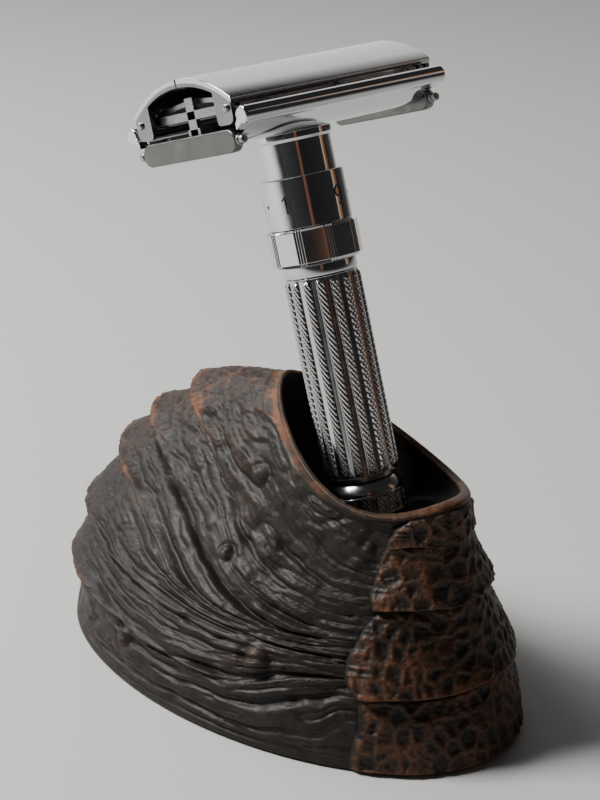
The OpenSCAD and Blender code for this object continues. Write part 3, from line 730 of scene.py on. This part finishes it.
def rod(start, end, radius, cols=40, dome=0.35):
    """Closed shell of a pin with domed ends."""
    start, end = np.array(start, float), np.array(end, float)
    axis = (end - start) / np.linalg.norm(end - start)
    side = np.cross(axis, [0.3, 0.5, 0.8])
    side /= np.linalg.norm(side)
    other = np.cross(axis, side)
    turn = full_turn(cols)
    rings = []
    steps = np.radians([80, 60, 40, 20, 0])
    ends = [(start, -1, steps), (end, 1, steps[::-1])]
    for centre, way, sweep in ends:
        for s in sweep:
            r = radius * (1 - dome) + radius * dome * math.cos(s)
            middle = centre + axis * way * radius * dome * (math.sin(s) - 1)
            rings.append(middle + r * (np.cos(turn)[:, None] * side + np.sin(turn)[:, None] * other))
    count = len(rings)
    return np.array(rings).reshape(-1, 3), grid_faces(count, cols, True), end_caps(count, cols)


def prism(outline, y0, y1):
    """Closed shell of an outline in x and z, drawn out along y."""
    outline = np.asarray(outline, float)
    n = len(outline)
    ends = [np.stack([outline[:, 0], np.full(n, y), outline[:, 1]], -1) for y in (y0, y1)]
    k = np.arange(n)
    quads = np.stack([k, (k + 1) % n, (k + 1) % n + n, k + n], -1)
    return np.concatenate(ends), quads, end_caps(2, n)


def box(x0, x1, y0, y1, z0, z1):
    return prism([(x0, z0), (x1, z0), (x1, z1), (x0, z1)], y0, y1)


def razor_piece(name, shells, material, body, covers=(), bevel=0.0):
    """One piece from closed shells in the razor's frame."""
    points, quads, caps = [], [], []
    count = 0
    for shell_points, shell_quads, shell_caps in shells:
        points.append(np.asarray(shell_points, float))
        quads.append(np.asarray(shell_quads) + count)
        caps += [[k + count for k in cap] for cap in shell_caps]
        count += len(shell_points)
    piece = make_mesh(name, in_razor(np.concatenate(points)), np.concatenate(quads), material, caps)
    work = bmesh.new()
    work.from_mesh(piece.data)
    bmesh.ops.recalc_face_normals(work, faces=work.faces)
    work.to_mesh(piece.data)
    work.free()
    if bevel:
        edge = piece.modifiers.new("edge", "BEVEL")
        edge.width = bevel * MM
        edge.segments = 3
        edge.limit_method = "ANGLE"
        edge.angle_limit = math.radians(35)
        even = piece.modifiers.new("even", "WEIGHTED_NORMAL")
        even.keep_sharp = False
    if covers:
        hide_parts(*covers)
    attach(piece, body)
    return piece


# ---- razor: handle
def land_of(angle):
    """Where a place lies on its land: 0 in the middle to 1 at the edge, the angle from the middle,
    and how proud it stands, 1 on the land and 0 in the groove."""
    pitch = 2 * math.pi / LANDS
    off = (angle + pitch / 2) % pitch - pitch / 2
    share = np.abs(off) / (0.25 * pitch)
    return share, off, 1 - smooth((share - 0.85) / 0.45)


def knurl(z, along_round, pitch=1.0, lead=0.66):
    """Diamonds between two families of slanting cuts, one of them cut deeper."""
    first = np.abs(np.sin(math.pi * (z / pitch + along_round / lead)))
    second = np.abs(np.sin(math.pi * (z / pitch - along_round / lead)))
    return np.minimum(1.0, 1.5 * first) * (0.55 + 0.45 * np.minimum(1.0, 1.7 * second))


def make_grip():
    cols, rows = 24 * LANDS, 300
    groove, crown, diamonds = 0.5, 0.12, 0.2       # depths of the cuts
    outer_z = np.linspace(GRIP_Z0 + 0.25, GRIP_Z1 - 0.25, rows)
    rounding = [(5.0, 0), (5.6, 0), (5.85, 0.04), (6.02, 0.13)]
    foot = [(r, GRIP_Z0 + z) for r, z in rounding]
    top = [(r, GRIP_Z1 - z) for r, z in rounding[::-1]]
    outline = np.array(foot + [(GRIP_R, z) for z in outer_z] + top)

    def shape(a, r, z):
        share, off, proud = land_of(a)
        end_fade = smooth((z - GRIP_Z0 - 0.2) / 0.8) * smooth((GRIP_Z1 - 0.2 - z) / 0.8)
        cut = groove * (1 - proud * (0.25 + 0.75 * end_fade))
        cut += crown * np.clip(share, 0, 1) ** 2 * proud
        cut += diamonds * (1 - knurl(z, off * GRIP_R)) * proud * end_fade
        return np.where(r > 5.9, r - cut, r)
    razor_piece("grip_knurled", [turned(outline, cols, shape)], knurl_chrome, "razor", ["grip_sleeve"])


def make_collar():
    outline = softened([(TUBE_R + 0.05, COLLAR_Z0), (5.75, COLLAR_Z0), (5.9, COLLAR_Z0 + 0.5),
                        (5.9, COLLAR_Z1), (TUBE_R + 0.05, COLLAR_Z1)], 0.16)
    razor_piece("handle_collar", [turned(outline, 128)], bright_chrome, "razor", ["grip_collar"])


def make_ring():
    groups, facet_depth, rib_depth = 9, 0.22, 0.17
    facet_half, rib_half, rib_step = (math.radians(d) for d in (14.5, 0.75, 3.4))
    outline = softened([(DIAL_R - 0.2, RING_Z0), (RING_R - 0.35, RING_Z0), (RING_R, RING_Z0 + 0.4),
                        (RING_R, RING_Z1 - 0.35), (RING_R - 0.3, RING_Z1), (DIAL_R - 0.2, RING_Z1)], 0.14)

    def shape(a, r, z):
        pitch = 2 * math.pi / groups
        from_facet = (a + pitch / 2) % pitch - pitch / 2
        from_ribs = (a % pitch) - pitch / 2
        facet = facet_depth * np.maximum(0.0, 1 - (from_facet / facet_half) ** 2)
        ribs = 0.0
        for k in (-1, 0, 1):
            ribs += rib_depth * np.exp(-((from_ribs - k * rib_step) / rib_half) ** 2)
        return np.where(r > RING_R - 0.55, r - facet - ribs, r)
    razor_piece("adjuster_ring_turned", [turned(outline, 900, shape)], bright_chrome, "dial",
                ["adjuster_ring"])


def make_dial():
    outline = softened([(DIAL_BORE, RING_Z0), (DIAL_R - 0.25, RING_Z0), (DIAL_R - 0.25, DIAL_Z0),
                        (DIAL_R, DIAL_Z0), (DIAL_R, DIAL_Z1), (DIAL_BORE, DIAL_Z1)], 0.18)
    razor_piece("dial_turned", [turned(outline, 160)], bright_chrome, "dial", ["dial_sleeve"])


def arc(cx, cy, rx, ry, start, end, count=14):
    turn = np.radians(np.linspace(start, end, count))
    return [(cx + rx * math.cos(t), cy + ry * math.sin(t)) for t in turn]


# Strokes of each figure, in millimetres from the middle of its foot
FIGURES = {
    "1": [[(-0.55, 2.1), (0.1, 2.75), (0.1, 0.0)]],
    "3": [arc(0, 2.05, 0.72, 0.7, 150, -80) + arc(0, 0.75, 0.82, 0.75, 80, -150)],
    "5": [[(0.7, 2.75), (-0.55, 2.75), (-0.65, 1.55)] + arc(0, 0.88, 0.8, 0.88, 125, -140)],
    "7": [[(-0.75, 2.75), (0.75, 2.75), (0.3, 1.5), (-0.1, 0.0)]],
    "9": [arc(0, 1.95, 0.72, 0.8, 0, 345, 24), [(0.72, 1.95), (0.6, 0.9), (0.1, 0.1), (-0.3, 0.0)]],
    ".": [arc(0, 1.4, 0.14, 0.14, 0, 330, 12)],
}
FIGURE_START = math.radians(-70.2)  # where the 1 stands with the dial at its middle setting
FIGURE_STEP = math.radians(-35.0)
FIGURE_FOOT = 49.4


def stroke(line, at, half):
    """Closed shell of one inked stroke wrapped on the dial."""
    p = np.array(line, float)
    run = np.gradient(p, axis=0)
    run /= np.linalg.norm(run, axis=1, keepdims=True)
    left = np.stack([-run[:, 1], run[:, 0]], -1) * half
    proud, sunk = DIAL_R + 0.03, DIAL_R - 0.1
    sides = [(p + left, proud), (p - left, proud), (p - left, sunk), (p + left, sunk)]
    rings = []
    for flat, radius in sides:
        a = at + flat[:, 0] / DIAL_R
        rings.append(np.stack([radius * np.cos(a), radius * np.sin(a), FIGURE_FOOT + flat[:, 1]], -1))
    points = np.stack(rings, 1)
    n = len(p)
    caps = [[0, 1, 2, 3], [4 * n - 1, 4 * n - 2, 4 * n - 3, 4 * n - 4]]
    return points.reshape(-1, 3), grid_faces(n, 4, True), caps


def make_figures():
    shells = []
    for k, figure in enumerate("1.3.5.7.9"):
        at = FIGURE_START + k * FIGURE_STEP
        for line in FIGURES[figure]:
            shells.append(stroke(line, at, 0.15 if figure == "." else 0.17))
    razor_piece("dial_figures", shells, black_ink, "dial")


def make_neck():
    bore, foot, flange = HUB_R + 0.4, DIAL_Z0 + 3.1, NECK_R + 0.3
    outline = softened([(bore, foot), (NECK_R, foot), (NECK_R, FLANGE_Z0 - 0.3),
                        (flange, FLANGE_Z0 + 0.1), (flange, FLANGE_Z1), (bore, FLANGE_Z1)], 0.12)
    razor_piece("neck_turned", [turned(outline, 160)], bright_chrome, "guard", ["neck_sleeve"])


def make_knob():
    band_top, groove, diamonds = 3.5, 0.34, 0.18
    band = [(GRIP_R, z) for z in np.linspace(0.35, band_top, 34)]
    foot = [(0.4, 0.0), (3.0, 0.0), (5.4, 0.0), (5.62, 0.02), (5.85, 0.1), (6.02, 0.22)]
    shoulder = [(6.02, band_top + 0.1), (5.95, band_top + 0.22), (5.98, band_top + 0.4),
                (5.95, band_top + 0.7), (5.8, 4.6), (5.55, 5.1), (5.25, 5.5), (5.05, 5.75),
                (4.8, 5.88), (4.4, KNOB_TOP)]
    bore = [(STEM_R + 0.02, KNOB_TOP), (STEM_R + 0.02, 1.5), (0.4, 1.5)]

    def shape(a, r, z):
        _, off, proud = land_of(a)
        fade = smooth((z - 0.3) / 0.3) * smooth((band_top - z) / 0.35)
        cut = fade * (groove * (1 - proud) + diamonds * (1 - knurl(z, off * GRIP_R)) * proud)
        return np.where((r > 6.05) & (z < band_top + 0.05), r - cut, r)
    shell = turned(np.array(foot + band + shoulder + bore), 24 * LANDS, shape, capped=True)
    razor_piece("twist_knob_turned", [shell], knurl_chrome, "knob", ["twist_knob"])


# ---- razor: head
def arch(x):
    """Height of the doors' outer face across the head."""
    return CREST_Z - (CREST_Z - LIP_Z) * (np.abs(x) / DOOR_HALF_W) ** ARCH_POWER


def make_door(name, body, way):
    seam, steps = 0.12, np.linspace(0, 1, 41)
    x = seam + (DOOR_HALF_W - seam) * (1 - (1 - steps) ** 1.25)
    under = np.maximum(seam, x - 0.25 * steps)
    sheet = list(zip(way * x, arch(x))) + list(zip(way * under[::-1], arch(x[::-1]) - DOOR_T))
    near, far, foot, band = PIN_X - 2.6, DOOR_HALF_W - 0.4, FLOOR_TOP + 1.5, 1.3
    ear = [(u, arch(u) - 0.05) for u in x if u < far]
    ear += [(far, arch(far) - 0.05), (far, foot + 1), (far - 0.3, foot + 0.3), (far - 1, foot),
            (near + 0.6, foot), (near + 0.15, foot + 0.2), (near, foot + 0.6), (near, arch(near) - band)]
    ear += [(u, arch(u) - band) for u in x[::-1] if u < near]
    ear = [(way * u, w) for u, w in ear]
    razor_piece(name + "_sheet", [prism(sheet, -DOOR_HALF_L, DOOR_HALF_L)], bright_chrome, body,
                [name], bevel=0.14)
    ears = [prism(ear, -DOOR_HALF_L + 0.05, -DOOR_HALF_L + 0.8),
            prism(ear, DOOR_HALF_L - 0.8, DOOR_HALF_L - 0.05)]
    razor_piece(name + "_ears", ears, worn_plate, body, bevel=0.12)


def make_guard():
    wing = [(BAR_X - 0.4, BAR_Z - BAR_R + 0.1), (BAR_X - 0.2, BAR_Z), (BAR_X - BAR_R + 0.25, BAR_Z - 0.35)]
    half = [(0.0, PLATE_Z), (6.5, PLATE_Z), (8.3, PLATE_Z + 0.16), (10.0, PLATE_Z + 0.7),
            (11.7, PLATE_Z + 1.7)] + wing
    half += [(TRAY_HALF_W, FLOOR_TOP + 1), (TRAY_HALF_W - 0.8, FLOOR_TOP + 0.35),
             (TRAY_HALF_W - 2, FLOOR_TOP)]
    outline = half + [(-x, z) for x, z in half[::-1]][:-1]
    trough_end = CAP_Y - 0.1
    flank = [(11.87, PLATE_Z + 1.85)] + wing + [(11.87, FLOOR_TOP + 1.4)]
    shells = [prism(outline, -trough_end, trough_end)]
    for way in (-1, 1):
        side = [(way * x, z) for x, z in flank]
        shells.append(prism(side, -DOOR_HALF_L, -trough_end + 0.2))
        shells.append(prism(side, trough_end - 0.2, DOOR_HALF_L))
        bar_ends = [(way * BAR_X, y, BAR_Z) for y in (-DOOR_HALF_L, DOOR_HALF_L)]
        shells.append(rod(*bar_ends, BAR_R, 48, 0.3))
    razor_piece("guard_trough", shells, bright_chrome, "guard", ["guard_plate"], bevel=0.12)


def make_caps():
    r = CAP_H / 2
    turn = np.radians(np.linspace(-90, 90, 17))
    right = [(CAP_HALF_W - r + r * math.cos(t), CAP_Z + r * math.sin(t)) for t in turn]
    outline = right + [(-x, z) for x, z in right[::-1]]
    for name, way in (("end_cap_left", -1), ("end_cap_right", 1)):
        ends = sorted((way * CAP_Y, way * (DOOR_HALF_L + 0.2)))
        razor_piece(name + "_block", [prism(outline, *ends)], brushed_plate, "guard",
                    [name], bevel=0.3)
    reach, at_y = CAP_HALF_W + 1.3, (CAP_Y + DOOR_HALF_L + 0.2) / 2
    shells = [rod((-reach, way * at_y, CAP_Z), (reach, way * at_y, CAP_Z), 0.65) for way in (-1, 1)]
    for way in (-1, 1):
        for side in (-1, 1):
            shells.append(rod((side * (CAP_HALF_W + 0.05), way * at_y, CAP_Z),
                              (side * (CAP_HALF_W + 0.45), way * at_y, CAP_Z), 0.85, 40, 0.2))
    razor_piece("rivets_domed", shells, satin_steel, "guard", ["end_cap_rivets"])


def make_lift():
    shells = [box(-BEAM_HALF_W, BEAM_HALF_W, -ARM_Y - ARM_T, ARM_Y + ARM_T, BEAM_Z, BEAM_Z + BEAM_H)]
    pins = []
    for way in (-1, 1):
        y0, y1 = sorted((way * ARM_Y, way * (ARM_Y + ARM_T)))
        shells.append(box(-1, 1, y0, y1, BEAM_Z, TRAY_Z + 0.4))
        shells.append(box(-PIN_X, PIN_X, y0, y1, PIN_Z - 0.7, PIN_Z + 0.7))
        for side in (-1, 1):
            shells.append(rod((side * PIN_X, y0, PIN_Z), (side * PIN_X, y1, PIN_Z), 1.3, 40, 0.08))
            p0, p1 = sorted((way * (ARM_Y - 0.1), way * (DOOR_HALF_L + 0.4)))
            pins.append(rod((side * PIN_X, p0, PIN_Z), (side * PIN_X, p1, PIN_Z), PIN_R))
    razor_piece("lift_frame", shells, satin_steel, "lift", ["lift_bar"], bevel=0.1)
    razor_piece("hinge_pins_domed", pins, satin_steel, "lift", ["hinge_pins"])


def make_tray():
    """The vaulted plate that backs the blade, notched along both edges, with its studs and split hub."""
    along = np.linspace(-TRAY_HALF_L, TRAY_HALF_L, 240)
    across = np.linspace(-1, 1, 41)
    notch = sum(window(along, y * TRAY_HALF_L - 1.4, y * TRAY_HALF_L + 1.4, 0.12) for y in (-0.82, 0.0, 0.82))
    half = TRAY_HALF_W - 0.8 * notch
    x = across[None, :] * half[:, None]
    y = np.broadcast_to(along[:, None], x.shape)
    z = TRAY_Z - (TRAY_Z - LIP_Z + 0.9) * np.abs(x / TRAY_HALF_W) ** 2
    top = np.stack([x, y, z], -1)
    under = top - np.array([0, 0, TRAY_T])
    loop = np.concatenate([top, under[:, ::-1]], 1)
    rows, cols = loop.shape[:2]
    caps = [list(range(cols)), list(range((rows - 1) * cols, rows * cols))[::-1]]
    shells = [(loop.reshape(-1, 3), grid_faces(rows, cols, True), caps)]
    for stud_share in (-0.62, 0.0, 0.62):
        stud_y = stud_share * TRAY_HALF_L
        shells.append(rod((0, stud_y, TRAY_Z - 0.5), (0, stud_y, TRAY_Z + 0.3), 1.3, 40, 0.3))
    bore, hub_top = TUBE_R + 0.05, BEAM_Z - 0.4
    hub = [(bore, FLANGE_Z0), (HUB_R, FLANGE_Z0), (HUB_R, hub_top), (bore, hub_top)]
    shells.append(turned(softened(hub, 0.1), 96))
    for side in (-1, 1):
        x0, x1 = sorted((side * (BEAM_HALF_W + 0.3), side * 3.6))
        shells.append(box(x0, x1, -2.1, 2.1, BEAM_Z - 0.6, TRAY_Z - TRAY_T + 0.1))
    razor_piece("tray_pressed", shells, satin_steel, "razor", ["blade_tray"], bevel=0.08)


make_grip()
make_collar()
make_ring()
make_dial()
make_figures()
make_neck()
make_knob()
make_door("door_front", "door_front", 1)
make_door("door_rear", "door_rear", -1)
make_guard()
make_caps()
make_lift()
make_tray()


# ---- carried-over CAD nodes
def dress(material, *names):
    """Give CAD nodes that stay as they are a detailed material."""
    for name in names:
        slots = nodes[name].data.materials
        slots.clear()
        slots.append(material)


dress(fill_plaster, "backfill_core")
dress(felt_green, "felt_pad")
dress(satin_steel, "tension_spring", "click_ring", "draw_rod", "retaining_clip", "end_bushing")
dress(turned_brass, "inner_tube", "knob_stem")


# ---- floor, light and camera
CAMERA_AZIMUTH, CAMERA_ELEVATION = math.radians(47.7), math.radians(21.6)
CAMERA_DISTANCE = 0.345
CAMERA_AIM = Vector((-0.0107, 0.0122, 0.0407))
CAMERA_LENS = 90.0

FLOOR_RADIUS, FLOOR_SHIFT = 2.5, 1.7  # the floor reaches far towards the camera, less behind
LIT_POOL_CENTRE = (-0.33, 0.30, 0.0)  # middle of the painted pool of light on the floor, mostly behind the stand
# reach of the painted pool of light and of its painted shade, then the lit grey and the painted-shade grey
LIT_POOL_RADIUS, PAINTED_SHADE_RADIUS = 0.6, 1.2
PALE, PAINTED_SHADE_GREY = (0.66, 0.665, 0.66), (0.3, 0.3, 0.3)


def make_floor():
    """A pale sheet with painted shade: its colour falls off from a painted pool of light to grey towards the
    room, so that the plating has dark to reflect.
    """
    around = 128
    turn = full_turn(around)
    centre = FLOOR_SHIFT * np.array([math.sin(CAMERA_AZIMUTH), -math.cos(CAMERA_AZIMUTH)])
    rings = [[(*(centre + r * np.array([math.cos(t), math.sin(t)])), 0.0) for t in turn]
             for r in (FLOOR_RADIUS, FLOOR_RADIUS * 0.5, 0.02)]
    material, tree, shader = new_material("floor_painted_falloff", {"Roughness": 0.75})
    coords = node_of(tree, "ShaderNodeTexCoord")
    from_centre = node_of(tree, "ShaderNodeVectorMath", operation="DISTANCE")
    tree.links.new(coords.outputs["Object"], from_centre.inputs[0])
    from_centre.inputs[1].default_value = LIT_POOL_CENTRE
    share = math_node(tree, "MULTIPLY", from_centre.outputs["Value"], 1 / PAINTED_SHADE_RADIUS)
    # painted shade: pale inside the pool of light, falling off to grey further out
    tone = ramp_of(tree, share, [(LIT_POOL_RADIUS / PAINTED_SHADE_RADIUS, PALE), (1.0, PAINTED_SHADE_GREY)])
    grain = noise_node(tree, 900.0, 3.0, 0.5)
    speck = ramp_of(tree, grain, [(0.3, 0.97), (0.7, 1.0)])
    tree.links.new(mix_colour(tree, 1.0, tone, speck, "MULTIPLY"), shader.inputs["Base Color"])
    floor = make_mesh("floor", np.array(rings) / MM, grid_faces(3, around, True), material,
                      [list(range(2 * around, 3 * around))])


def area_light(name, place, aim, size, power, colour=(1, 1, 1)):
    light = bpy.data.lights.new(name, "AREA")
    light.shape = "RECTANGLE"
    light.size, light.size_y = size
    light.energy = power
    light.color = colour
    lamp = bpy.data.objects.new(name, light)
    lamp.location = place
    lamp.rotation_euler = (Vector(aim) - Vector(place)).to_track_quat("-Z", "Y").to_euler()
    scene.collection.objects.link(lamp)


# The room round the table: bearing as a share of a turn, from straight behind the stand round by
# the camera's left, with 0.5 at the camera, and the colour there. Pale paper stands behind and to
# the left. The rest is dark, with a warm strip behind the camera and another at its right.
ROOM = (
    (0.000, (1.15, 1.14, 1.12)), (0.060, (0.80, 0.80, 0.79)), (0.205, (0.80, 0.80, 0.79)),
    (0.222, (0.13, 0.14, 0.15)), (0.330, (0.075, 0.08, 0.085)), (0.490, (0.035, 0.035, 0.036)),
    (0.508, (0.03, 0.027, 0.026)), (0.514, (0.28, 0.13, 0.08)), (0.526, (0.22, 0.10, 0.06)),
    (0.534, (0.02, 0.018, 0.018)), (0.750, (0.03, 0.03, 0.03)), (0.756, (0.85, 0.80, 0.74)),
    (0.766, (0.36, 0.16, 0.06)), (0.786, (0.28, 0.12, 0.05)), (0.794, (0.02, 0.02, 0.02)),
    (0.880, (0.08, 0.08, 0.08)), (0.945, (0.80, 0.80, 0.79)), (1.000, (1.15, 1.14, 1.12)),
)
ROOM_CEILING = (0.028, 0.028, 0.03)


def make_world():
    world = bpy.data.worlds.new("studio")
    scene.world = world
    world.use_nodes = True
    tree = world.node_tree
    coords = node_of(tree, "ShaderNodeTexCoord")
    turned_room = node_of(tree, "ShaderNodeMapping", {"Rotation": (0, 0, math.pi / 2 - CAMERA_AZIMUTH)})
    tree.links.new(coords.outputs["Generated"], turned_room.inputs["Vector"])
    parts = node_of(tree, "ShaderNodeSeparateXYZ")
    tree.links.new(turned_room.outputs["Vector"], parts.inputs["Vector"])
    bearing = math_node(tree, "ARCTAN2", parts.outputs["Y"], parts.outputs["X"])
    share = math_node(tree, "MULTIPLY_ADD", bearing, 0.5 / math.pi, 0.5)
    walls = ramp_of(tree, share, ROOM)
    height = ramp_of(tree, parts.outputs["Z"], [(0.5, 0.0), (0.62, 1.0)])
    sky = mix_colour(tree, height, walls, ROOM_CEILING)
    tree.links.new(sky, tree.nodes["Background"].inputs["Color"])


def make_light():
    make_world()
    area_light("key", place=(-0.38, -0.42, 0.62), aim=(0, 0, 0.04), size=(0.28, 0.28), power=10.5,
               colour=(1.0, 0.985, 0.96))
    area_light("fill", place=(-0.66, -0.12, 0.5), aim=(0, 0, 0.03), size=(0.3, 0.3), power=1.6)


def make_camera():
    data = bpy.data.cameras.new("camera")
    data.lens = CAMERA_LENS
    data.clip_start = 0.01
    camera = bpy.data.objects.new("camera", data)
    level = math.cos(CAMERA_ELEVATION)
    back = Vector((math.sin(CAMERA_AZIMUTH) * level, -math.cos(CAMERA_AZIMUTH) * level,
                   math.sin(CAMERA_ELEVATION)))
    camera.location = CAMERA_AIM + back * CAMERA_DISTANCE
    camera.rotation_euler = (math.pi / 2 - CAMERA_ELEVATION, 0, CAMERA_AZIMUTH)
    scene.collection.objects.link(camera)
    scene.camera = camera


make_floor()
make_light()
make_camera()
